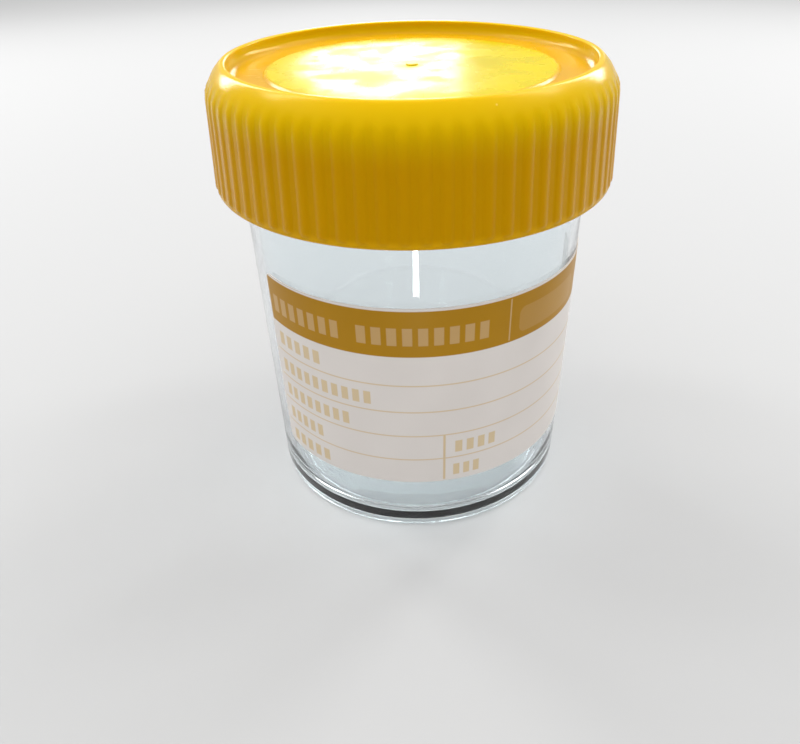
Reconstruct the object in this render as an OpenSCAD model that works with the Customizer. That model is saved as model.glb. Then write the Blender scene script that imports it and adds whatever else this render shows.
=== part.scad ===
// Screw-capped specimen container: a clear moulded jar, a ribbed screw cap and a wrapped writing label.
// Millimetres. The origin is the centre of the foot, and +Z points up through the mouth.
// The threads are left out: the space that they take is kept between the neck and the cap.

/* [Container] */
// Height of the container from its foot to its rim
jar_h = 69.6; // [50:0.1:110]
// Outer radius of the wall where it meets the foot
base_r = 27.22; // [20:0.02:40]
// Lean of the wall, outwards going up, in degrees
wall_draft = 0.45; // [0.2:0.05:1]
// Thickness of the wall
wall_t = 1.25; // [0.9:0.05:1.8]
// Thickness of the floor
floor_t = 1.5; // [1:0.1:2.5]
// Height of the foot ring, which lifts the floor off the table
foot_h = 0.7; // [0.6:0.1:1.5]
// Width of the foot ring's flat land
foot_w = 1.5; // [1:0.1:3]
// Radius of the outer corner between wall and foot
foot_round = 1.3; // [0.5:0.1:1.4]
// Radius of the inner corner between wall and floor
well_round = 3; // [1:0.1:5]
// Length of the straight bore at the mouth
mouth_l = 4.5; // [3.8:0.1:8]
// Radius of the rim's two edges
rim_round = 0.35; // [0.1:0.05:0.4]
// Radius of the gate marks under the floor and on the cap
gate_r = 0.9; // [0.5:0.1:2]
// Height of the gate marks
gate_h = 0.2; // [0.1:0.05:0.3]

/* [Cap] */
// Height of the cap from its lower edge to its top
cap_h = 17.8; // [12:0.1:24]
// Radial space between neck and skirt, which the threads take up
thread_space = 1.55; // [1.2:0.05:2.5]
// Thickness of the skirt between two ribs
skirt_t = 1.5; // [1.1:0.05:2]
// Lean of the skirt, outwards going down, in degrees
skirt_draft = 3.2; // [1:0.1:5]
// Radius of the skirt's lower outer edge
hem_round = 0.5; // [0.2:0.1:0.6]
// Thickness of the roof under the stacking recess
roof_t = 1.4; // [1:0.1:2]
// Largest radius of the shoulder between skirt and top
shoulder_round = 6.4; // [3:0.1:7]
// Fall of the shoulder where it leaves the crest, in degrees
shoulder_fall = 40; // [30:1:50]
// Radial width of the crest round the recess
crest_w = 0.8; // [0.7:0.05:1.5]
// Radius of the crest's outer edge
crest_round = 0.6; // [0.2:0.05:0.6]

/* [Grip ribs] */
// Number of ribs round the skirt
rib_n = 72; // [36:4:80]
// Height of a rib over the skirt
rib_h = 0.26; // [0.15:0.01:0.35]
// Width of a rib where it meets the skirt
rib_w = 1.75; // [1:0.05:1.9]
// Distance of the ribs' upper ends from the cap's top
rib_drop = 2.7; // [2.4:0.1:6]
// Height of the plain band between the cap's lower edge and the ribs
rib_lift = 0.5; // [0.4:0.1:2]

/* [Stacking recess] */
// Depth of the recess that takes the foot of the container above
recess_d = 2.1; // [2:0.05:3]
// Radial clearance round the foot of the container above
nest_gap = 0.18; // [0.1:0.02:0.5]
// Radius of the fillet at the foot of the recess wall
recess_round = 1.4; // [1:0.05:1.5]
// Radius of the recess wall's upper edge
lip_round = 0.3; // [0.1:0.05:0.35]
// Width of the flat channel between the recess wall and the raised disc
channel_w = 3.7; // [2:0.1:6]
// Height of the raised disc over the channel
disc_h = 0.3; // [0.25:0.05:0.8]
// Width of the slope round the disc
disc_edge = 0.35; // [0.2:0.05:0.6]

/* [Plug seal] */
// Depth of the sealing ring that enters the mouth
plug_l = 3; // [2:0.1:3.5]
// Thickness of the sealing ring
plug_t = 1.1; // [0.9:0.1:1.6]
// Radial clearance between sealing ring and mouth
plug_gap = 0.05; // [0.02:0.01:0.1]
// Radius of the sealing ring's tip
plug_round = 0.4; // [0.2:0.05:0.4]

/* [Label] */
// Height of the lower edge of the label
label_z = 11.15; // [5:0.05:15]
// Height of the label
label_h = 33.6; // [15:0.1:38]
// Length of the label along the wall
label_l = 70; // [40:1:100]
// Direction of the label's left edge, from the front, in degrees
label_from = -58.2; // [-90:0.1:0]
// Thickness of the label
label_t = 0.1; // [0.08:0.01:0.2]
// Adhesive gap between label and wall
label_gap = 0.02; // [0.01:0.01:0.05]
// Radius of the label's corners
label_round = 1.5; // [0.5:0.1:4]

/* [Hidden] */
$fn = 96;

clear_plastic = [0.80, 0.87, 0.90, 0.35];
cap_yellow = [0.97, 0.74, 0.02];
label_white = [0.93, 0.92, 0.90];

// Heights that the pieces share
top_z = jar_h + roof_t + recess_d;
seat_z = top_z - recess_d;
hem_z = top_z - cap_h;

// Container
neck_z = hem_z - 1;
neck_r = wall_r(neck_z);
mouth_r = neck_r - wall_t;
floor_z = foot_h + floor_t;
foot_in_r = base_r - foot_round - foot_w;

// Cap
lean = tan(skirt_draft);
bore_r = neck_r + thread_space;
recess_r = base_r + nest_gap;
crest_r = recess_r + crest_w;
disc_r = recess_r - recess_round - channel_w - disc_edge;
plug_r = mouth_r - plug_gap;
// Where the falling shoulder would meet the skirt, below the top, and the largest arc that fits that corner
shoulder_z = (skirt_r(top_z) - crest_r) / (1 / tan(shoulder_fall) - lean);
shoulder_run = shoulder_z / sin(shoulder_fall) - crest_round * tan(shoulder_fall / 2);
shoulder_turn = 90 - skirt_draft - shoulder_fall;
shoulder_arc = min(shoulder_round, 0.98 * shoulder_run / tan(shoulder_turn / 2));

// Ribs: each is a slice of a leaning rod, rib_w wide and rib_h high where it shows
rib_l = (top_z - rib_drop - hem_z - rib_lift) / cos(skirt_draft);
rod_r = (rib_w * rib_w / 4 + rib_h * rib_h) / (2 * rib_h);
rod_sink = rod_r - rib_h;
rod_edge = 1.1 * asin(rib_w / 2 / rod_r);
// How far a rib's root enters the skirt
rib_root = 0.35;
// Lengths along a rib from its lower end: where the shoulder's arc starts, and where the rib's two bends lie
shoulder_start = rib_l + (rib_drop - shoulder_z) / cos(skirt_draft) - shoulder_arc * tan(shoulder_turn / 2);
rib_end_bend = rib_l - 1;
rib_arc_bend = min(shoulder_start, rib_end_bend);

// Label
label_angle = label_l / (wall_r(label_z + label_h / 2)) * 180 / PI;

// Outer radius of the container's wall at height z
function wall_r(z) = base_r + z * tan(wall_draft);
// Outer radius of the skirt between two ribs, and radius of its bore, at height z
function skirt_r(z) = bore_r + skirt_t + (jar_h - z) * lean;
function skirt_bore_r(z) = bore_r + (jar_h - z) * lean;
// How far the shoulder has fallen away from the skirt's line, at a length along a rib from its lower end
function shoulder_dip(run) = shoulder_arc - sqrt(pow(shoulder_arc, 2) - pow(max(run - shoulder_start, 0), 2));

function unit(v) = v / norm(v);
function place(v) = [v[0], v[1]];

// Corner i of an outline, rounded: the two ends of its arc, the arc's centre, and whether it is hollow
function round_corner(q, i) =
    let (n = len(q),
         p = place(q[i]),
         u = unit(place(q[(i + n - 1) % n]) - p),
         w = unit(place(q[(i + 1) % n]) - p),
         half = acos(u * w) / 2,
         run = q[i][2] / tan(half))
    [p + run * u, p + run * w, p + q[i][2] / sin(half) * unit(u + w), cross(w, u) < 0];

// Outline through the points [x, y, corner radius], listed anticlockwise
module rounded_outline(q) {
    sharp = [for (i = [0:len(q) - 1]) q[i][2] == 0];
    corners = [for (i = [0:len(q) - 1]) sharp[i] ? [] : round_corner(q, i)];
    keeps_tip = [for (i = [0:len(q) - 1]) sharp[i] || corners[i][3]];
    polygon([for (i = [0:len(q) - 1]) each keeps_tip[i] ? [place(q[i])] : [corners[i][0], corners[i][1]]]);
    for (i = [0:len(q) - 1]) if (!sharp[i]) {
        tip = [corners[i][0], place(q[i]), corners[i][1]];
        if (corners[i][3]) difference() {
            polygon(tip);
            translate(corners[i][2]) circle(q[i][2]);
        }
        else intersection() {
            polygon(tip);
            translate(corners[i][2]) circle(q[i][2]);
        }
    }
}

// Half section of the container: under the floor, round the foot, up the wall, into the mouth and down
module container_section() {
    rounded_outline([
        [0, foot_h, 0],
        [foot_in_r, foot_h, 0.3],
        [foot_in_r, 0, 0.25],
        [base_r, 0, foot_round],
        [neck_r, neck_z, 0],
        [neck_r, jar_h, rim_round],
        [mouth_r, jar_h, rim_round],
        [mouth_r, jar_h - mouth_l, 0],
        [wall_r(floor_z) - wall_t, floor_z, well_round],
        [0, floor_z, 0]
    ]);
}

// Half section of the cap: under the roof, round the sealing ring and the skirt, over the crest and back
module cap_section() {
    rounded_outline([
        [0, jar_h, 0],
        [plug_r - plug_t, jar_h, 0.4],
        [plug_r - plug_t, jar_h - plug_l, 0.2],
        [plug_r, jar_h - plug_l, plug_round],
        [plug_r, jar_h, 0],
        [bore_r, jar_h, 0.6],
        [skirt_bore_r(hem_z), hem_z, 0.3],
        [skirt_r(hem_z), hem_z, hem_round],
        [skirt_r(top_z - shoulder_z), top_z - shoulder_z, shoulder_arc],
        [crest_r, top_z, crest_round],
        [recess_r, top_z, lip_round],
        [recess_r, seat_z, recess_round],
        [disc_r + disc_edge, seat_z, 0],
        [disc_r, seat_z + disc_h, 0],
        [0, seat_z + disc_h, 0]
    ]);
}

module container_body() {
    color(clear_plastic) union() {
        rotate_extrude() container_section();
        translate([0, 0, foot_h - gate_h]) cylinder(h = gate_h + floor_t / 2, r = gate_r);
    }
}

// Section of a rib across the skirt, with flats along the rod's arc: +X points outwards
module rib_section() {
    polygon([
        [-rib_root, -rib_w / 2],
        for (k = [-2:2]) [rod_r * cos(k * rod_edge / 2) - rod_sink, rod_r * sin(k * rod_edge / 2)],
        [-rib_root, rib_w / 2]
    ]);
}

// Outline of a rib seen along the skirt: the lower end slopes, and the upper end sinks into the shoulder
module rib_outline() {
    polygon([
        [-rib_root, -rib_root],
        [rib_h, rib_h],
        [rib_h, rib_arc_bend],
        [rib_h - shoulder_dip(rib_end_bend), rib_end_bend],
        [-rib_root - shoulder_dip(rib_l), rib_l + rib_root],
        [-rib_root, rib_arc_bend]
    ]);
}

// One grip rib on the +X side, which leans with the skirt
module rib() {
    low_z = hem_z + rib_lift;
    translate([skirt_r(low_z), 0, low_z]) rotate([0, -skirt_draft, 0]) intersection() {
        translate([0, 0, -rib_root]) linear_extrude(rib_l + 2 * rib_root) rib_section();
        rotate([90, 0, 0]) linear_extrude(2 * rib_w, center = true) rib_outline();
    }
}

module screw_cap() {
    color(cap_yellow) union() {
        rotate_extrude() cap_section();
        translate([0, 0, seat_z]) cylinder(h = disc_h + gate_h, r = gate_r);
        for (i = [0:rib_n - 1]) rotate([0, 0, (i + 0.5) * 360 / rib_n]) rib();
    }
}

module label() {
    mid_r = wall_r(label_z + label_h / 2);
    color(label_white) difference() {
        rotate([0, 0, label_from - 90]) rotate_extrude(angle = label_angle) label_section();
        for (side = [0, 1]) for (top = [0, 1])
            rotate([0, 0, label_from - 90 + side * label_angle])
                translate([mid_r, 0, label_z + top * label_h])
                    mirror([0, side, 0]) mirror([0, 0, top]) corner_notch();
    }
}

// Thin strip along the wall, in the half plane of the section
module label_section() {
    inner = label_gap;
    outer = label_gap + label_t;
    polygon([
        [wall_r(label_z) + inner, label_z],
        [wall_r(label_z) + outer, label_z],
        [wall_r(label_z + label_h) + outer, label_z + label_h],
        [wall_r(label_z + label_h) + inner, label_z + label_h]
    ]);
}

// What a round corner takes off a square one, with the corner at the origin and the label in +Y and +Z
module corner_notch() {
    rotate([90, 0, 90]) translate([0, 0, -2]) linear_extrude(4) difference() {
        translate([-1, -1]) square(label_round + 1);
        translate([label_round, label_round]) circle(label_round, $fn = 48);
    }
}

container_body();
screw_cap();
label();
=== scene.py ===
import math

import bpy
import numpy as np
from mathutils import Matrix, Vector


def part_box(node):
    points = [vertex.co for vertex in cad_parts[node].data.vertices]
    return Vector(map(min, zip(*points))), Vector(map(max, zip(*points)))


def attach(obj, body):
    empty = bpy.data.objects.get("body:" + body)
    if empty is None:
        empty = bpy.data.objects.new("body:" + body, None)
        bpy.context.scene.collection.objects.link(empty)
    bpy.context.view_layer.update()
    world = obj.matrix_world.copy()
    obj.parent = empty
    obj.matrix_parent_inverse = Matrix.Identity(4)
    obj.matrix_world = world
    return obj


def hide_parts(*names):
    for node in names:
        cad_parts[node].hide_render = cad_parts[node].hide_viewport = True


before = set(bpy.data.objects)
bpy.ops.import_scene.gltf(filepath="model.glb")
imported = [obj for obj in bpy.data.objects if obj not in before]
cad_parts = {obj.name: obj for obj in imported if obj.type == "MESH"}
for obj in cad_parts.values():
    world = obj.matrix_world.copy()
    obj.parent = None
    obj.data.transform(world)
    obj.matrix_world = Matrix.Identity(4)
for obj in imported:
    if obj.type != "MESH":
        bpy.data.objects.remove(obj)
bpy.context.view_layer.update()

# Looks of a screw-capped specimen container: a clear moulded jar, a ribbed yellow cap and a printed label.
# Sizes are millimetres, and every mesh is scaled to metres when it is made. Z points up and the front is -Y.
MM = 0.001
jar_low, jar_high = (np.array(corner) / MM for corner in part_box("container_body"))
cap_low, cap_high = (np.array(corner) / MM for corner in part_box("screw_cap"))
label_low, label_high = (np.array(corner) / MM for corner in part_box("label"))

# ---------------------------------------------------------------- sizes
# Jar
RIM_Z = jar_high[2]
WALL_LEAN = math.tan(math.radians(0.45))
WALL_T = 1.25
FLOOR_T = 1.5
FOOT_H = 0.7
FOOT_W = 1.5
FOOT_ROUND = 1.3
WELL_ROUND = 3.0
MOUTH_L = 4.5
RIM_ROUND = 0.35
GATE_R = 0.9
GATE_H = 0.2

# Cap
HEM_Z = cap_low[2]
TOP_Z = cap_high[2]
RECESS_D = 2.1
SEAT_Z = TOP_Z - RECESS_D
THREAD_SPACE = 1.55
SKIRT_T = 1.5
SKIRT_DRAFT = math.radians(3.2)
SHOULDER_ROUND = 6.0
SHOULDER_FALL = math.radians(40)
NEST_GAP = 0.18
CREST_W = 0.8
CREST_ROUND = 0.6
RECESS_ROUND = 1.4
CHANNEL_W = 3.7
DISC_H = 0.3
DISC_EDGE = 0.35
PLUG_L = 3.0
PLUG_T = 1.1
PLUG_GAP = 0.05
BORE_ROUND = 0.6

# Radii that follow from those
NECK_Z = HEM_Z - 1.0
NECK_R = jar_high[0]
BASE_R = NECK_R - NECK_Z * WALL_LEAN
MOUTH_R = NECK_R - WALL_T
FLOOR_Z = FOOT_H + FLOOR_T
BORE_R = NECK_R + THREAD_SPACE
RECESS_R = BASE_R + NEST_GAP
CREST_R = RECESS_R + CREST_W
DISC_R = RECESS_R - RECESS_ROUND - CHANNEL_W - DISC_EDGE
PLUG_R = MOUTH_R - PLUG_GAP

# Grip ribs: slices of round-ended rods
RIB_N = 72
RIB_H = 0.26
RIB_W = 1.75
RIB_DROP = 2.7
RIB_LIFT = 0.5
ROD_R = (RIB_W ** 2 / 4 + RIB_H ** 2) / (2 * RIB_H)
ROD_SINK = ROD_R - RIB_H

# Threads: one ridge on the neck, and one inside the cap half a pitch below it
THREAD_PITCH = 4.2
THREAD_TURNS = 1.6
THREAD_W = 1.7
THREAD_EDGE = 0.45
NECK_RIDGE = 1.15
CAP_RIDGE_R = NECK_R + 0.45
NECK_THREAD_Z = 58.6
RIDGE_CLEAR = 0.4

# Label, laid round the wall from its left edge; the front is 0 degrees
LABEL_Z = label_low[2]
LABEL_H = label_high[2] - LABEL_Z
LABEL_L = 70.0
LABEL_FROM = math.radians(-58.2)
LABEL_T = 0.1
LABEL_GAP = 0.02
LABEL_ROUND = 1.5


def wall_r(z):
    """Outer radius of the jar's wall at height z: a cone that opens upwards, up to the straight neck."""
    return BASE_R + np.minimum(z, NECK_Z) * WALL_LEAN


def skirt_r(z):
    """Outer radius of the cap's skirt between two ribs: a cone that opens downwards."""
    return BORE_R + SKIRT_T + (RIM_Z - z) * math.tan(SKIRT_DRAFT)


def bore_r(z):
    """Radius of the cap's bore, which leans like its skirt."""
    return BORE_R + (RIM_Z - z) * math.tan(SKIRT_DRAFT)


# ---------------------------------------------------------------- shapes
def unit(v):
    return v / np.hypot(*v)


def arc_at(before, corner, after, radius):
    """Points of the arc that touches both sides of a corner: its centre lies on the corner's bisector,
    radius / sin(half the corner's angle) away, and it turns by 180 degrees less that angle."""
    u, w = unit(before - corner), unit(after - corner)
    half = math.acos(np.clip(u @ w, -1, 1)) / 2
    centre = corner + unit(u + w) * radius / math.sin(half)
    start = corner + u * radius / math.tan(half) - centre
    turn = math.copysign(math.pi - 2 * half, u[0] * w[1] - u[1] * w[0]) * -1
    steps = max(3, math.ceil(abs(turn) / math.radians(15)) + 1)
    t = np.linspace(0, turn, steps)
    return centre + np.stack(
        [start[0] * np.cos(t) - start[1] * np.sin(t), start[0] * np.sin(t) + start[1] * np.cos(t)], 1
    )


def outline(corners):
    """Outline through corners (x, y, radius, spacing): a corner with a radius becomes an arc, and the side
    that follows a corner is filled with evenly spaced points, if the corner gives a spacing."""
    xy = np.array([c[:2] for c in corners], float)
    last = len(corners) - 1
    arcs = [
        arc_at(xy[i - 1], xy[i], xy[min(i + 1, last)], c[2]) if c[2] else xy[i : i + 1]
        for i, c in enumerate(corners)
    ]
    runs = []
    for i, c in enumerate(corners):
        runs.append(arcs[i])
        if i < last and c[3]:
            a, b = arcs[i][-1], arcs[i + 1][0]
            count = math.ceil(np.hypot(*(b - a)) / c[3])
            share = np.arange(1, count)[:, None] / count
            runs.append(a + (b - a) * share)
    return np.concatenate(runs)


def grid_faces(rows, columns, closed):
    """Corner numbers of the quads between neighbouring rows of a grid, whose rows may close into rings."""
    i = np.arange(rows - 1)[:, None] * columns
    j = np.arange(columns if closed else columns - 1)[None, :]
    k = (j + 1) % columns
    return np.stack([i + j, i + k, i + columns + k, i + columns + j], -1).reshape(-1, 4)


def run_length(line):
    """Distance along an outline from its first point to each of its points."""
    return np.concatenate([[0], np.cumsum(np.hypot(*np.diff(line, axis=0).T))])


def revolve(line, angles, push):
    """Surface of revolution of an outline that starts and ends on the axis:
    (r cos a, r sin a, z), moved along the outline's own normal by push(length along the outline, angle, z).
    The outline runs anticlockwise, so its normal is its direction turned a quarter turn to the right."""
    along = np.gradient(line, axis=0)
    along /= np.hypot(*along.T)[:, None]
    inner = slice(1, -1)
    s, z, a = run_length(line)[inner, None], line[inner, 1:], angles[None, :]
    out = push(s, a, z)
    r = line[inner, :1] + out * along[inner, 1:]
    z = z - out * along[inner, :1]
    rings = np.stack(np.broadcast_arrays(r * np.cos(a), r * np.sin(a), z), -1)
    rows, columns = rings.shape[:2]
    points = np.concatenate([rings.reshape(-1, 3), [[0, 0, line[0, 1]], [0, 0, line[-1, 1]]]])
    first, last = len(points) - 2, len(points) - 1
    j = np.arange(columns)
    k = (j + 1) % columns
    top = (rows - 1) * columns
    fans = np.concatenate(
        [
            np.stack([np.full(columns, first), k, j], 1),
            np.stack([np.full(columns, last), top + j, top + k], 1),
        ]
    )
    return points, grid_faces(rows, columns, True), fans


def smooth(t):
    """0 below 0, 1 above 1 and a smooth S in between: 3 t^2 - 2 t^3."""
    t = np.clip(t, 0, 1)
    return t * t * (3 - 2 * t)


def helical_ridge(angle, z, start_z):
    """Share of its full height that a thread's ridge has at (angle, z): the ridge climbs one pitch a turn
    for THREAD_TURNS turns, its flanks slope over THREAD_EDGE, and its two ends run out over a twelfth turn."""
    turn = np.mod(angle / (2 * math.pi), 1)
    share = np.zeros(np.broadcast(angle, z).shape)
    for lap in range(math.ceil(THREAD_TURNS)):
        travelled = turn + lap
        off = np.abs(z - start_z - THREAD_PITCH * travelled)
        flank = smooth((THREAD_W / 2 - off) / THREAD_EDGE + 0.5)
        ends = smooth(travelled * 12) * smooth((THREAD_TURNS - travelled) * 12)
        share = np.maximum(share, flank * ends)
    return share


def make_piece(name, points, quads, tris, body, node, material, sharp_deg=40):
    """Puts a mesh into the scene as a piece that rides on a body and stands for a CAD node."""
    mesh = bpy.data.meshes.new(name)
    corners = np.concatenate([quads.ravel(), tris.ravel()])
    starts = np.concatenate([np.arange(len(quads)) * 4, quads.size + np.arange(len(tris)) * 3])
    mesh.vertices.add(len(points))
    mesh.vertices.foreach_set("co", (points * MM).astype(np.float32).ravel())
    mesh.loops.add(len(corners))
    mesh.loops.foreach_set("vertex_index", corners.astype(np.int32))
    mesh.polygons.add(len(starts))
    mesh.polygons.foreach_set("loop_start", starts.astype(np.int32))
    mesh.update(calc_edges=True)
    mesh.validate()
    mesh.shade_smooth()
    mesh.set_sharp_from_angle(angle=math.radians(sharp_deg))
    piece = bpy.data.objects.new(name, mesh)
    bpy.context.scene.collection.objects.link(piece)
    mesh.materials.append(material)
    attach(piece, body)
    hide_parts(node)
    return piece


# ---------------------------------------------------------------- node helpers
def link(tree, value, socket):
    """Puts a number, colour or another node's output into a socket."""
    if isinstance(value, bpy.types.NodeSocket):
        tree.links.new(value, socket)
    else:
        socket.default_value = value


def calc(tree, operation, *values):
    """Output of a Math node."""
    node = tree.nodes.new("ShaderNodeMath")
    node.operation = operation
    for value, socket in zip(values, node.inputs):
        link(tree, value, socket)
    return node.outputs[0]


def blend(tree, share, a, b):
    """Colour a turning into colour b by a share from 0 to 1."""
    node = tree.nodes.new("ShaderNodeMix")
    node.data_type = "RGBA"
    link(tree, share, node.inputs["Factor"])
    link(tree, a, node.inputs[6])
    link(tree, b, node.inputs[7])
    return node.outputs[2]


def remap(tree, value, low, high, to_low, to_high, smoothly=False):
    """A value's range from low to high taken to another range, and held at its ends."""
    node = tree.nodes.new("ShaderNodeMapRange")
    node.interpolation_type = "SMOOTHSTEP" if smoothly else "LINEAR"
    for value_in, name in (
        (value, "Value"),
        (low, "From Min"),
        (high, "From Max"),
        (to_low, "To Min"),
        (to_high, "To Max"),
    ):
        link(tree, value_in, node.inputs[name])
    return node.outputs["Result"]


def noise(tree, vector, scale, detail=2.0, rough=0.5):
    """Value of a noise texture, about 0 to 1."""
    node = tree.nodes.new("ShaderNodeTexNoise")
    link(tree, vector, node.inputs["Vector"])
    link(tree, scale, node.inputs["Scale"])
    node.inputs["Detail"].default_value = detail
    node.inputs["Roughness"].default_value = rough
    return node.outputs["Fac"]


def stretched(tree, vector, scale):
    """A vector times a scale for each axis."""
    node = tree.nodes.new("ShaderNodeVectorMath")
    node.operation = "MULTIPLY"
    link(tree, vector, node.inputs[0])
    node.inputs[1].default_value = scale
    return node.outputs["Vector"]


def axes(tree, vector):
    """The X, Y and Z outputs of a vector."""
    node = tree.nodes.new("ShaderNodeSeparateXYZ")
    link(tree, vector, node.inputs[0])
    return node.outputs


def group(name, inputs, outputs, build):
    """A shader node group with named inputs and outputs, which build(tree, inputs, outputs) fills.
    An input's default is a number, or None for a vector."""
    tree = bpy.data.node_groups.new(name, "ShaderNodeTree")
    for label, default in inputs.items():
        kind = "NodeSocketVector" if default is None else "NodeSocketFloat"
        socket = tree.interface.new_socket(label, in_out="INPUT", socket_type=kind)
        if default is not None:
            socket.default_value = default
    for label in outputs:
        tree.interface.new_socket(label, in_out="OUTPUT", socket_type="NodeSocketFloat")
    build(tree, tree.nodes.new("NodeGroupInput").outputs, tree.nodes.new("NodeGroupOutput").inputs)
    return tree


def use(tree, shared, **values):
    """Places a node group and returns its outputs."""
    node = tree.nodes.new("ShaderNodeGroup")
    node.node_tree = shared
    for label, value in values.items():
        link(tree, value, node.inputs[label.replace("_", " ")])
    return node.outputs


def new_material(name):
    """A material's node tree, its Principled shader and its output node."""
    material = bpy.data.materials.new(name)
    material.use_nodes = True
    tree = material.node_tree
    return material, tree, tree.nodes["Principled BSDF"], tree.nodes["Material Output"]


def bump(tree, height, distance, strength=1.0):
    """Normal of a Bump node."""
    node = tree.nodes.new("ShaderNodeBump")
    node.inputs["Strength"].default_value = strength
    node.inputs["Distance"].default_value = distance
    link(tree, height, node.inputs["Height"])
    return node.outputs["Normal"]


# ---------------------------------------------------------------- shared effects
def moulding(tree, given, out):
    """Slow waviness of a moulded face with a fine grain on it."""
    slow = noise(tree, given["Vector"], given["Wave scale"], 2, 0.4)
    fine = noise(tree, given["Vector"], given["Grain scale"], 3, 0.6)
    grain = calc(tree, "MULTIPLY", fine, given["Grain share"])
    link(tree, calc(tree, "ADD", slow, grain), out["Height"])
    link(tree, slow, out["Shade"])


def scuffs(tree, given, out):
    """Hairline scratches in two directions, and specks: crests of strongly stretched noise, kept in patches,
    and the hearts of a few cells."""
    lines = []
    for stretch in ((1.0, 0.03, 0.06), (0.05, 0.9, 0.03)):
        value = noise(tree, stretched(tree, given["Vector"], stretch), given["Scratch scale"], 1, 0.5)
        lines.append(remap(tree, value, 0.70, 0.76, 0.0, 1.0))
    patch = remap(tree, noise(tree, given["Vector"], 120.0), 0.5, 0.6, 0.0, 1.0)
    link(tree, calc(tree, "MULTIPLY", calc(tree, "MAXIMUM", *lines), patch), out["Scratch"])
    cells = tree.nodes.new("ShaderNodeTexVoronoi")
    link(tree, given["Vector"], cells.inputs["Vector"])
    link(tree, given["Speck scale"], cells.inputs["Scale"])
    chosen = calc(tree, "LESS_THAN", axes(tree, cells.outputs["Color"])[0], given["Speck share"])
    dot = remap(tree, cells.outputs["Distance"], 0.06, 0.14, 1.0, 0.0)
    link(tree, calc(tree, "MULTIPLY", chosen, dot), out["Speck"])


def printed_bar(tree, given, out):
    """1 inside a bar with round corners and 0 outside: the signed distance to a box shrunk by the corner radius."""
    past = []
    for axis, low, high in (("X", "Left", "Right"), ("Y", "Bottom", "Top")):
        middle = calc(tree, "MULTIPLY", calc(tree, "ADD", given[low], given[high]), 0.5)
        half = calc(tree, "MULTIPLY", calc(tree, "SUBTRACT", given[high], given[low]), 0.5)
        off = calc(tree, "ABSOLUTE", calc(tree, "SUBTRACT", given[axis], middle))
        past.append(calc(tree, "SUBTRACT", calc(tree, "ADD", off, given["Corner"]), half))
    outside = [calc(tree, "MAXIMUM", p, 0.0) for p in past]
    square = [calc(tree, "MULTIPLY", p, p) for p in outside]
    far = calc(tree, "SQRT", calc(tree, "ADD", *square))
    near = calc(tree, "MINIMUM", calc(tree, "MAXIMUM", *past), 0.0)
    distance = calc(tree, "SUBTRACT", calc(tree, "ADD", far, near), given["Corner"])
    link(tree, remap(tree, distance, -0.06, 0.06, 1.0, 0.0), out["Mask"])


MOULDING = group(
    "moulding",
    {"Vector": None, "Wave scale": 60.0, "Grain scale": 2500.0, "Grain share": 0.1},
    ["Height", "Shade"],
    moulding,
)
SCUFFS = group(
    "scuffs",
    {"Vector": None, "Scratch scale": 3200.0, "Speck scale": 700.0, "Speck share": 0.02},
    ["Scratch", "Speck"],
    scuffs,
)
BAR = group(
    "printed_bar",
    {"X": 0.0, "Y": 0.0, "Left": 0.0, "Right": 1.0, "Bottom": 0.0, "Top": 1.0, "Corner": 0.0},
    ["Mask"],
    printed_bar,
)


# ---------------------------------------------------------------- materials
def object_place(tree):
    """Place on the piece itself, in metres, so a pattern rides with it."""
    return tree.nodes.new("ShaderNodeTexCoord").outputs["Object"]


def clear_plastic():
    """Clear polystyrene: a glass-like wall with a faint cool tint, slight waviness, and hairline scuffs.
    Lamps shine through it: for shadow rays it is a tinted filter."""
    material, tree, shader, output = new_material("clear_plastic")
    place = object_place(tree)
    moulded = use(tree, MOULDING, Vector=place, Wave_scale=45.0, Grain_scale=1200.0, Grain_share=0.02)
    worn = use(tree, SCUFFS, Vector=place)
    shader.inputs["Base Color"].default_value = (0.90, 0.94, 0.955, 1)
    shader.inputs["Transmission Weight"].default_value = 1.0
    shader.inputs["IOR"].default_value = 1.58
    link(tree, remap(tree, worn["Scratch"], 0.0, 1.0, 0.02, 0.22), shader.inputs["Roughness"])
    link(tree, bump(tree, moulded["Height"], 0.00025, 0.5), shader.inputs["Normal"])
    filter_node = tree.nodes.new("ShaderNodeBsdfTransparent")
    filter_node.inputs["Color"].default_value = (0.95, 0.965, 0.97, 1)
    rays = tree.nodes.new("ShaderNodeLightPath")
    mix = tree.nodes.new("ShaderNodeMixShader")
    link(tree, rays.outputs["Is Shadow Ray"], mix.inputs[0])
    link(tree, shader.outputs[0], mix.inputs[1])
    link(tree, filter_node.outputs[0], mix.inputs[2])
    link(tree, mix.outputs[0], output.inputs["Surface"])
    return material


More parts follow.
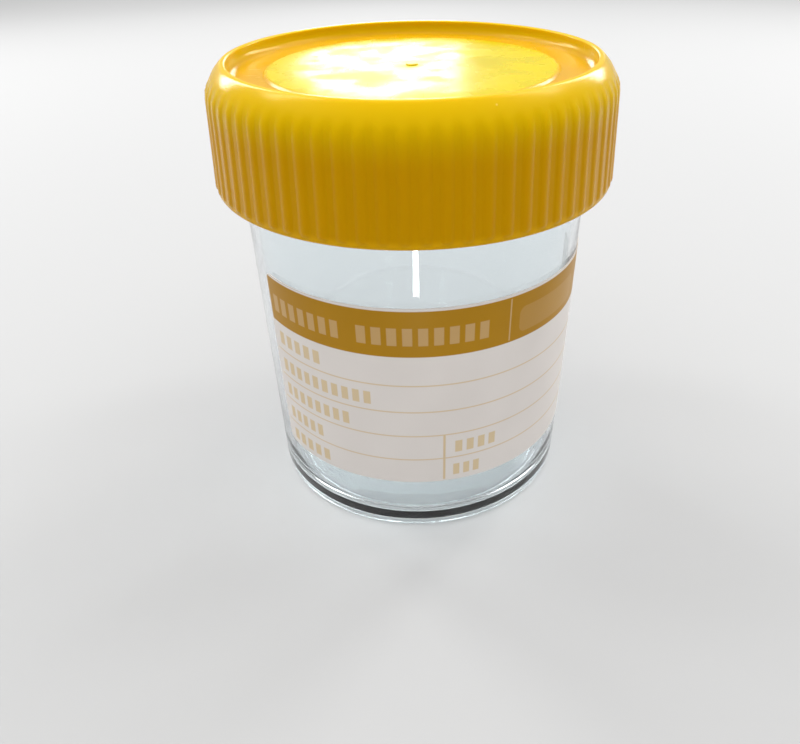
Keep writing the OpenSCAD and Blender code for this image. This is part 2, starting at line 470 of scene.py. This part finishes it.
def yellow_plastic():
    """Saturated yellow moulded plastic, a little translucent, with painted light in its colour: lighter toward the
    top where the overhead light falls, a paler painted glow of light through the thin lower edge, greener on the
    disc, painted shade deeper in the channel round it, with a soft sheen, fine grain and hairline scuffs.
    Its faces seen head-on reflect yellow, and at a grazing angle white."""
    material, tree, shader, _ = new_material("yellow_plastic")
    place = object_place(tree)
    where = axes(tree, place)
    height = where["Z"]
    moulded = use(tree, MOULDING, Vector=place, Wave_scale=70.0, Grain_scale=2600.0, Grain_share=0.12)
    worn = use(tree, SCUFFS, Vector=place)
    body = blend(tree, moulded["Shade"], (0.535, 0.272, 0.0006, 1), (0.49, 0.24, 0.0004, 1))
    # painted light: the colour turns lighter toward the top, where the overhead light falls
    painted_top_light = remap(tree, height, (TOP_Z - 8) * MM, (TOP_Z - 2) * MM, 0.0, 1.0, smoothly=True)
    body = blend(tree, painted_top_light, body, (0.60, 0.375, 0.001, 1))
    squares = [calc(tree, "POWER", where[axis], 2.0) for axis in ("X", "Y")]
    off_axis = calc(tree, "SQRT", calc(tree, "ADD", *squares))
    disc = remap(tree, off_axis, (DISC_R - 0.5) * MM, (DISC_R + 0.3) * MM, 1.0, 0.0)
    on_top = remap(tree, height, (SEAT_Z - 0.6) * MM, (SEAT_Z - 0.2) * MM, 0.0, 1.0)
    on_disc = calc(tree, "MULTIPLY", disc, on_top)
    body = blend(tree, on_disc, body, (0.50, 0.40, 0.002, 1))
    # painted shade: the channel between the recess wall and the disc is darkened, as the recess lies in shade
    in_recess = remap(tree, off_axis, (RECESS_R - 0.5) * MM, (RECESS_R + 0.1) * MM, 1.0, 0.0, smoothly=True)
    painted_channel_shade = calc(tree, "MULTIPLY", in_recess, calc(tree, "SUBTRACT", on_top, on_disc))
    body = blend(tree, calc(tree, "MULTIPLY", painted_channel_shade, 0.85), body, (0.50, 0.255, 0.0005, 1))
    # painted light: a paler band just above the hem stands in for light shining through the thin lower edge
    painted_hem_glow = remap(tree, height, (HEM_Z + 0.2) * MM, (HEM_Z + 1.6) * MM, 1.0, 0.0, smoothly=True)
    with_hem_glow_painted = blend(tree, calc(tree, "MULTIPLY", painted_hem_glow, 0.5), body, (0.80, 0.46, 0.01, 1))
    speckled = blend(tree, calc(tree, "MULTIPLY", worn["Speck"], 0.6), with_hem_glow_painted, (0.85, 0.62, 0.20, 1))
    link(tree, speckled, shader.inputs["Base Color"])
    patches = noise(tree, place, 190.0, 3, 0.45)
    dull = calc(tree, "MULTIPLY", on_disc, remap(tree, patches, 0.35, 0.68, 0.0, 0.18, smoothly=True))
    rough = calc(tree, "ADD", remap(tree, moulded["Shade"], 0.3, 0.7, 0.15, 0.22), dull)
    link(tree, calc(tree, "ADD", rough, calc(tree, "MULTIPLY", worn["Scratch"], 0.15)), shader.inputs["Roughness"])
    dents = calc(tree, "MULTIPLY", on_disc, calc(tree, "MULTIPLY", patches, 0.6))
    link(tree, bump(tree, calc(tree, "ADD", moulded["Height"], dents), 0.0002, 0.35), shader.inputs["Normal"])
    shader.inputs["IOR"].default_value = 1.5
    shader.inputs["Specular Tint"].default_value = (1.0, 0.72, 0.05, 1)
    shader.inputs["Specular IOR Level"].default_value = 0.22
    shader.inputs["Subsurface Weight"].default_value = 0.25
    shader.inputs["Subsurface Radius"].default_value = (1.0, 0.55, 0.08)
    shader.inputs["Subsurface Scale"].default_value = 0.0015
    return material


# Print: heights above the foot, and directions in degrees from the front
LABEL_R = float(wall_r(LABEL_Z + LABEL_H / 2))
DEGREE = math.pi / 180 * LABEL_R
BAND_Z = (36.5, 44.3)
TITLE_Z = (38.5, 41.5)
TITLES = [(-55.5, -24.5), (-20, 23.5)]
FIELD = (34, 66, 37.6, 42.0)
FIELD_ROUND = 1.2
FIELD_LINE = 30.3
FIELD_LINE_W = 0.24
ROW_LINES = [31.2, 26.1, 21.2, 16.2]
LINE_W = 0.22
DIVIDER = 8.5
DIVIDER_W = 0.4
EDGE_IN = 0.35
ROW_IN = 0.8
MARK_LEFT = 1.6
MARK_H = 2.4
MARK_ROUND = 0.3
MARK_PITCH = 2.0
TITLE_PITCH = 2.2
ROW_ENDS = [(-33.0, 32.5), (-15.0, 27.25), (-23.5, 22.25), (-35.5, 17.25), (-33.5, 12.25)]
RIGHT_WORDS = [(11.5, 28, 17.25), (11, 22, 12.25)]


def label_x(degrees):
    """Place along the label of a direction from the front."""
    return (degrees - math.degrees(LABEL_FROM)) * DEGREE


def label_y(z):
    """Height on the label of a height above the foot."""
    return z - LABEL_Z


def print_masks(tree, x, y):
    """The label's inks: the band, fine lines, marks in the places of words, and the band's own pale print."""

    def bar(left, right, low, high, corner=0.0):
        """Mask of a bar between two places and two heights on the label."""
        return use(tree, BAR, X=x, Y=y, Left=left, Right=right, Bottom=low, Top=high, Corner=corner)["Mask"]

    def rule(middle, width, low, high):
        """Mask of an upright line of a width."""
        return bar(middle - width / 2, middle + width / 2, low, high)

    def marks(left, right, low, high, pitch):
        """A row of small upright blocks between left and right."""
        count = max(1, round((right - left) / pitch))
        step = (right - left) / count
        wave = calc(tree, "PINGPONG", calc(tree, "SUBTRACT", x, left), step / 2)
        stripe = remap(tree, wave, step * 0.16, step * 0.16 + 0.12, 0.0, 1.0)
        return calc(tree, "MULTIPLY", bar(left, right, low, high, MARK_ROUND), stripe)

    def word(left, right, z):
        """Marks of the common height, with their foot at height z."""
        return marks(left, right, label_y(z), label_y(z) + MARK_H, MARK_PITCH)

    def union(masks):
        """The highest of several masks."""
        total = masks[0]
        for mask in masks[1:]:
            total = calc(tree, "MAXIMUM", total, mask)
        return total

    band_low, band_high = (label_y(z) for z in BAND_Z)
    title_low, title_high = (label_y(z) for z in TITLE_Z)
    field_left, field_right, field_low, field_high = FIELD
    band = bar(EDGE_IN, LABEL_L - EDGE_IN, band_low, band_high)
    rows = [label_y(z) for z in ROW_LINES]
    lines = [bar(ROW_IN, LABEL_L - ROW_IN, z - LINE_W / 2, z + LINE_W / 2) for z in rows]
    lines.append(rule(label_x(DIVIDER), DIVIDER_W, EDGE_IN, rows[2]))
    words = [word(MARK_LEFT, label_x(end), z) for end, z in ROW_ENDS]
    words += [word(label_x(start), label_x(end), z) for start, end, z in RIGHT_WORDS]
    titles = [marks(label_x(start), label_x(end), title_low, title_high, TITLE_PITCH) for start, end in TITLES]
    field_line = rule(label_x(FIELD_LINE), FIELD_LINE_W, band_low + 0.3, band_high - 0.3)
    field = bar(
        label_x(field_left), label_x(field_right), label_y(field_low), label_y(field_high), FIELD_ROUND
    )
    return band, union(lines), union(words), union(titles), field_line, field


def label_print():
    """Off-white label film with an ochre band, rules and small blocks in the places of the words.
    The inks differ a little in gloss, and the paper has a soft tooth."""
    material, tree, shader, _ = new_material("label_print")
    uv = tree.nodes.new("ShaderNodeUVMap")
    uv.uv_map = "print"
    across = axes(tree, uv.outputs["UV"])
    x = calc(tree, "MULTIPLY", across["X"], LABEL_L)
    y = calc(tree, "MULTIPLY", across["Y"], LABEL_H)
    band, lines, words, titles, field_line, field = print_masks(tree, x, y)
    place = object_place(tree)
    moulded = use(tree, MOULDING, Vector=place, Wave_scale=120.0, Grain_scale=3500.0, Grain_share=0.5)
    paper = blend(tree, moulded["Shade"], (0.745, 0.70, 0.665, 1), (0.675, 0.63, 0.595, 1))
    ochre = blend(tree, moulded["Shade"], (0.43, 0.215, 0.002, 1), (0.37, 0.18, 0.001, 1))
    pale_ink = (0.62, 0.44, 0.17, 1)
    colour = blend(tree, calc(tree, "MULTIPLY", lines, 0.62), paper, (0.60, 0.40, 0.12, 1))
    colour = blend(tree, calc(tree, "MULTIPLY", words, 0.66), colour, pale_ink)
    colour = blend(tree, band, colour, ochre)
    light_print = calc(tree, "MULTIPLY", titles, 0.36)
    for mask, strength in ((field_line, 0.45), (field, 0.12)):
        light_print = calc(tree, "MAXIMUM", light_print, calc(tree, "MULTIPLY", mask, strength))
    colour = blend(tree, light_print, colour, (0.72, 0.55, 0.36, 1))
    link(tree, colour, shader.inputs["Base Color"])
    link(tree, remap(tree, band, 0.0, 1.0, 0.5, 0.36), shader.inputs["Roughness"])
    link(tree, bump(tree, moulded["Height"], 0.00005, 0.6), shader.inputs["Normal"])
    shader.inputs["Specular IOR Level"].default_value = 0.2
    return material


# ---------------------------------------------------------------- pieces
def jar_outline():
    """Half section of the jar: under the floor, round the foot, up the wall and neck, into the mouth and down."""
    foot_in = BASE_R - FOOT_ROUND - FOOT_W
    return outline(
        [
            (0, FOOT_H - GATE_H, 0, 0.3),
            (GATE_R, FOOT_H - GATE_H, 0.08, None),
            (GATE_R, FOOT_H, 0.08, 4),
            (foot_in, FOOT_H, 0.3, None),
            (foot_in, 0, 0.25, None),
            (BASE_R, 0, FOOT_ROUND, 3),
            (NECK_R, NECK_Z, 0, 0.3),
            (NECK_R, RIM_Z, RIM_ROUND, None),
            (MOUTH_R, RIM_Z, RIM_ROUND, 2),
            (MOUTH_R, RIM_Z - MOUTH_L, 0, 3),
            (float(wall_r(FLOOR_Z)) - WALL_T, FLOOR_Z, WELL_ROUND, 4),
            (0, FLOOR_Z, 0, None),
        ]
    )


def neck_thread(line):
    """Push of the neck's thread: the helical ridge where the outline runs up the outside of the neck."""
    top = run_length(line)[np.argmax(line[:, 1])]

    def push(s, angle, z):
        return NECK_RIDGE * helical_ridge(angle, z, NECK_THREAD_Z) * (s < top) * (z > NECK_Z)

    return push


def cap_outline():
    """Half section of the cap: under the roof, round the sealing ring and skirt, over the crest and back."""
    lean = math.tan(SKIRT_DRAFT)
    drop = (skirt_r(TOP_Z) - CREST_R) / (1 / math.tan(SHOULDER_FALL) - lean)
    corner_z = TOP_Z - drop
    rib_low = HEM_Z + RIB_LIFT
    return outline(
        [
            (0, RIM_Z, 0, 6),
            (PLUG_R - PLUG_T, RIM_Z, 0.4, None),
            (PLUG_R - PLUG_T, RIM_Z - PLUG_L, 0.2, None),
            (PLUG_R, RIM_Z - PLUG_L, 0.4, None),
            (PLUG_R, RIM_Z, 0, None),
            (BORE_R, RIM_Z, BORE_ROUND, 0.55),
            (bore_r(HEM_Z), HEM_Z, 0.3, None),
            (skirt_r(HEM_Z), HEM_Z, 0.5, None),
            (skirt_r(rib_low), rib_low, 0, 0.22),
            (skirt_r(rib_low + RIB_W / 2), rib_low + RIB_W / 2, 0, 2.2),
            (skirt_r(corner_z), corner_z, SHOULDER_ROUND, None),
            (CREST_R, TOP_Z, CREST_ROUND, None),
            (RECESS_R, TOP_Z, 0.3, None),
            (RECESS_R, SEAT_Z, RECESS_ROUND, 2),
            (DISC_R + DISC_EDGE, SEAT_Z, 0.1, None),
            (DISC_R, SEAT_Z + DISC_H, 0.12, 5),
            (GATE_R, SEAT_Z + DISC_H, 0.08, None),
            (GATE_R, SEAT_Z + DISC_H + GATE_H, 0.08, None),
            (0, SEAT_Z + DISC_H + GATE_H, 0, None),
        ]
    )


def cap_relief(line):
    """Push of the cap's ribs and thread. A rib is what shows of a sunk rod with round ends:
    sqrt(rod^2 - across^2 - past its end^2) - sink. The thread's ridge reaches in to CAP_RIDGE_R."""
    reach = run_length(line)
    outside = np.arange(len(line)) > np.argmax(line[:, 0] * (line[:, 1] < HEM_Z + 2))
    low_s = np.interp(HEM_Z + RIB_LIFT + RIB_W / 2, line[outside, 1], reach[outside])
    rising = outside & (reach < reach[np.argmax(line[:, 1])])
    high_s = np.interp(TOP_Z - RIB_DROP - RIB_W / 2, line[rising, 1], reach[rising])
    hem_s = reach[np.flatnonzero(rising)[0]]
    bore_s = reach[np.argmin(np.abs(line[:, 0] - BORE_R) + np.abs(line[:, 1] - RIM_Z))]
    pitch = 2 * math.pi / RIB_N

    def push(s, angle, z):
        across = (np.mod(angle, pitch) - pitch / 2) * skirt_r(HEM_Z)
        past = np.maximum(0, np.maximum(s - high_s, low_s - s))
        rod = np.sqrt(np.maximum(0, ROD_R ** 2 - across ** 2 - past ** 2)) - ROD_SINK
        ribs = np.maximum(0, rod) * (s > hem_s) * (s < high_s + RIB_W)
        in_bore = (s > bore_s) * (s < hem_s) * (z < RIM_Z - BORE_ROUND) * (z > HEM_Z + RIDGE_CLEAR)
        ridge = helical_ridge(angle, z, NECK_THREAD_Z - THREAD_PITCH / 2) * (bore_r(z) - CAP_RIDGE_R)
        return ribs + ridge * in_bore

    return push


def rib_angles():
    """Directions of the cap's grid: ten for each rib, close together on its flanks."""
    pitch = 2 * math.pi / RIB_N
    shares = np.array([0.0, 0.10, 0.175, 0.25, 0.36, 0.5, 0.64, 0.75, 0.825, 0.90])
    return (np.arange(RIB_N)[:, None] + shares[None, :]).ravel() * pitch


def label_sheet():
    """The label as a thin closed sheet round the wall: at length u and height v it lies at
    (r sin t, -r cos t, z) with t = start + u / radius. Its sides draw in by the corner's arc,
    radius - sqrt(radius^2 - d^2), within a corner radius of its top and bottom. The print's map is u and v as shares
    of the label on the outer side, and lies off the print on the inner side, which is plain paper."""
    columns, rows = 141, 49
    corner = np.linspace(0, LABEL_ROUND, 9)[:-1]
    middle = np.linspace(LABEL_ROUND, LABEL_H - LABEL_ROUND, rows - 2 * len(corner))
    v = np.concatenate([corner, middle, LABEL_H - corner[::-1]])[:, None]
    depth = np.maximum(0, LABEL_ROUND - np.minimum(v, LABEL_H - v))
    inset = LABEL_ROUND - np.sqrt(LABEL_ROUND ** 2 - depth ** 2)
    share = np.linspace(0, 1, columns)[None, :]
    u = inset + (LABEL_L - 2 * inset) * share
    v = np.broadcast_to(v, u.shape)
    turn = LABEL_FROM + u / LABEL_R
    faces = grid_faces(rows, columns, False)
    sides = []
    for lift in (LABEL_GAP + LABEL_T, LABEL_GAP):
        r = wall_r(LABEL_Z + v) + lift
        sides.append(np.stack([r * np.sin(turn), -r * np.cos(turn), LABEL_Z + v], -1).reshape(-1, 3))
    count = rows * columns
    index = np.arange(count).reshape(rows, columns)
    rim = np.concatenate([index[0, :-1], index[:-1, -1], index[-1, :0:-1], index[:0:-1, 0]])
    onward = np.roll(rim, -1)
    border = np.stack([onward, rim, rim + count, onward + count], 1)
    quads = np.concatenate([faces, faces[:, ::-1] + count, border])
    prints = np.stack([u / LABEL_L, v / LABEL_H], -1).reshape(-1, 2)
    return np.concatenate(sides), quads, np.concatenate([prints, prints * 0 - 0.5])


JAR_COLUMNS = 360
NO_TRIS = np.zeros((0, 3), int)
jar_line = jar_outline()
jar_angles = np.linspace(0, 2 * math.pi, JAR_COLUMNS, endpoint=False)
jar_points, jar_quads, jar_tris = revolve(jar_line, jar_angles, neck_thread(jar_line))
make_piece(
    "clear_jar", jar_points, jar_quads, jar_tris, "container", "container_body", clear_plastic()
)
cap_line = cap_outline()
cap_points, cap_quads, cap_tris = revolve(cap_line, rib_angles(), cap_relief(cap_line))
make_piece(
    "ribbed_cap", cap_points, cap_quads, cap_tris, "cap", "screw_cap", yellow_plastic()
)
label_points, label_quads, label_uv = label_sheet()
label = make_piece(
    "wrapped_label", label_points, label_quads, NO_TRIS, "container", "label", label_print()
)
uv_layer = label.data.uv_layers.new(name="print")
corner_of = np.zeros(len(label.data.loops), np.int32)
label.data.loops.foreach_get("vertex_index", corner_of)
uv_layer.data.foreach_set("uv", label_uv[corner_of].astype(np.float32).ravel())


# ---------------------------------------------------------------- studio
FLOOR_HALF_M = 3.0
FLOOR_GAP = 0.1
FLOOR_SHADE = 0.36
WORLD_LOW = 0.40
WORLD_HIGH = 2.2

# The camera, as it takes an image 800 wide: focal length and shifts in parts of that width
IMAGE_W = 800
FOCAL = 707.554
SHIFT = (-18.302, 12.988)
SENSOR_W = 36.0
VIEW_FROM = (0, -115.015, 94.40)
VIEW_DOWN = 35.73
VIEW_ROLL = -1.14

# Lamps: name, place, width and height, radiance. All face the cap's top but the strip, which looks straight up.
CAP_TOP = (0, 0, 71)
LAMPS = [
    ("back_glare", (-30, 620, 200), (150, 120), 6.5),
    ("back_low_left", (-235, 600, 115), (50, 110), 0.7),
    ("back_low_right", (235, 600, 115), (50, 110), 1.0),
    ("high_left", (-400, 400, 370), (120, 360), 12.0),
    ("high_right", (400, 400, 370), (120, 360), 12.0),
    ("upper_left", (-400, 130, 560), (110, 260), 9.0),
    ("upper_right", (400, 130, 560), (110, 260), 9.0),
]
STRIP_FROM = (0, -125, 1)
STRIP_TO = (0, -125, 60)


def make_floor():
    """A plain pale floor of one colour, far wider than the view, 0.1 mm under the foot."""
    mesh = bpy.data.meshes.new("floor")
    turns = [(-1, -1), (1, -1), (1, 1), (-1, 1)]
    corners = [(x * FLOOR_HALF_M, y * FLOOR_HALF_M, -FLOOR_GAP * MM) for x, y in turns]
    mesh.from_pydata(corners, [], [(0, 1, 2, 3)])
    material, tree, shader, _ = new_material("floor_paint")
    shader.inputs["Base Color"].default_value = (FLOOR_SHADE, FLOOR_SHADE, FLOOR_SHADE, 1)
    shader.inputs["Roughness"].default_value = 0.7
    shader.inputs["Specular IOR Level"].default_value = 0.1
    mesh.materials.append(material)
    floor = bpy.data.objects.new("floor", mesh)
    bpy.context.scene.collection.objects.link(floor)


def softbox(name, place, target, size, radiance):
    """A rectangular lamp at a place in millimetres, which faces a target. Its power is radiance x pi x area,
    and the camera doesn't see it."""
    lamp = bpy.data.lights.new(name, "AREA")
    lamp.shape = "RECTANGLE"
    lamp.size, lamp.size_y = size[0] * MM, size[1] * MM
    lamp.energy = radiance * math.pi * lamp.size * lamp.size_y
    holder = bpy.data.objects.new(name, lamp)
    bpy.context.scene.collection.objects.link(holder)
    way = Vector(target) - Vector(place)
    holder.rotation_mode = "QUATERNION"
    holder.rotation_quaternion = way.to_track_quat("-Z", "Y")
    holder.location = Vector(place) * MM
    holder.visible_camera = False


def make_world():
    """Soft even light all round, brighter overhead, the same for every kind of ray."""
    world = bpy.data.worlds.new("studio")
    bpy.context.scene.world = world
    world.use_nodes = True
    tree = world.node_tree
    way = axes(tree, tree.nodes.new("ShaderNodeTexCoord").outputs["Generated"])
    above = remap(tree, way["Z"], 0.45, 0.75, 0.0, 1.0, smoothly=True)
    light = blend(tree, above, (WORLD_LOW, WORLD_LOW, WORLD_LOW, 1), (WORLD_HIGH, WORLD_HIGH, WORLD_HIGH, 1))
    link(tree, light, tree.nodes["Background"].inputs["Color"])


def make_studio():
    """Soft lamps behind and above, for the gloss of the cap, and a narrow low strip in front,
    which shows as the upright streak on the clear wall."""
    for name, place, size, radiance in LAMPS:
        softbox(name, place, CAP_TOP, size, radiance)
    softbox("front_strip", STRIP_FROM, STRIP_TO, (7, 33), 16.0)


def make_camera():
    """The view from the front, 36 degrees down, close to the container."""
    data = bpy.data.cameras.new("view")
    data.sensor_width = SENSOR_W
    data.lens = FOCAL / IMAGE_W * SENSOR_W
    data.shift_x, data.shift_y = (shift / IMAGE_W for shift in SHIFT)
    data.clip_start = 0.005
    data.clip_end = 20.0
    camera = bpy.data.objects.new("view", data)
    bpy.context.scene.collection.objects.link(camera)
    place = Matrix.Translation(Vector(VIEW_FROM) * MM)
    pitch = Matrix.Rotation(math.radians(90 - VIEW_DOWN), 4, "X")
    roll = Matrix.Rotation(math.radians(VIEW_ROLL), 4, "Z")
    camera.matrix_world = place @ pitch @ roll
    bpy.context.scene.camera = camera


make_floor()
make_world()
make_studio()
make_camera()
bpy.context.scene.view_settings.view_transform = "Standard"
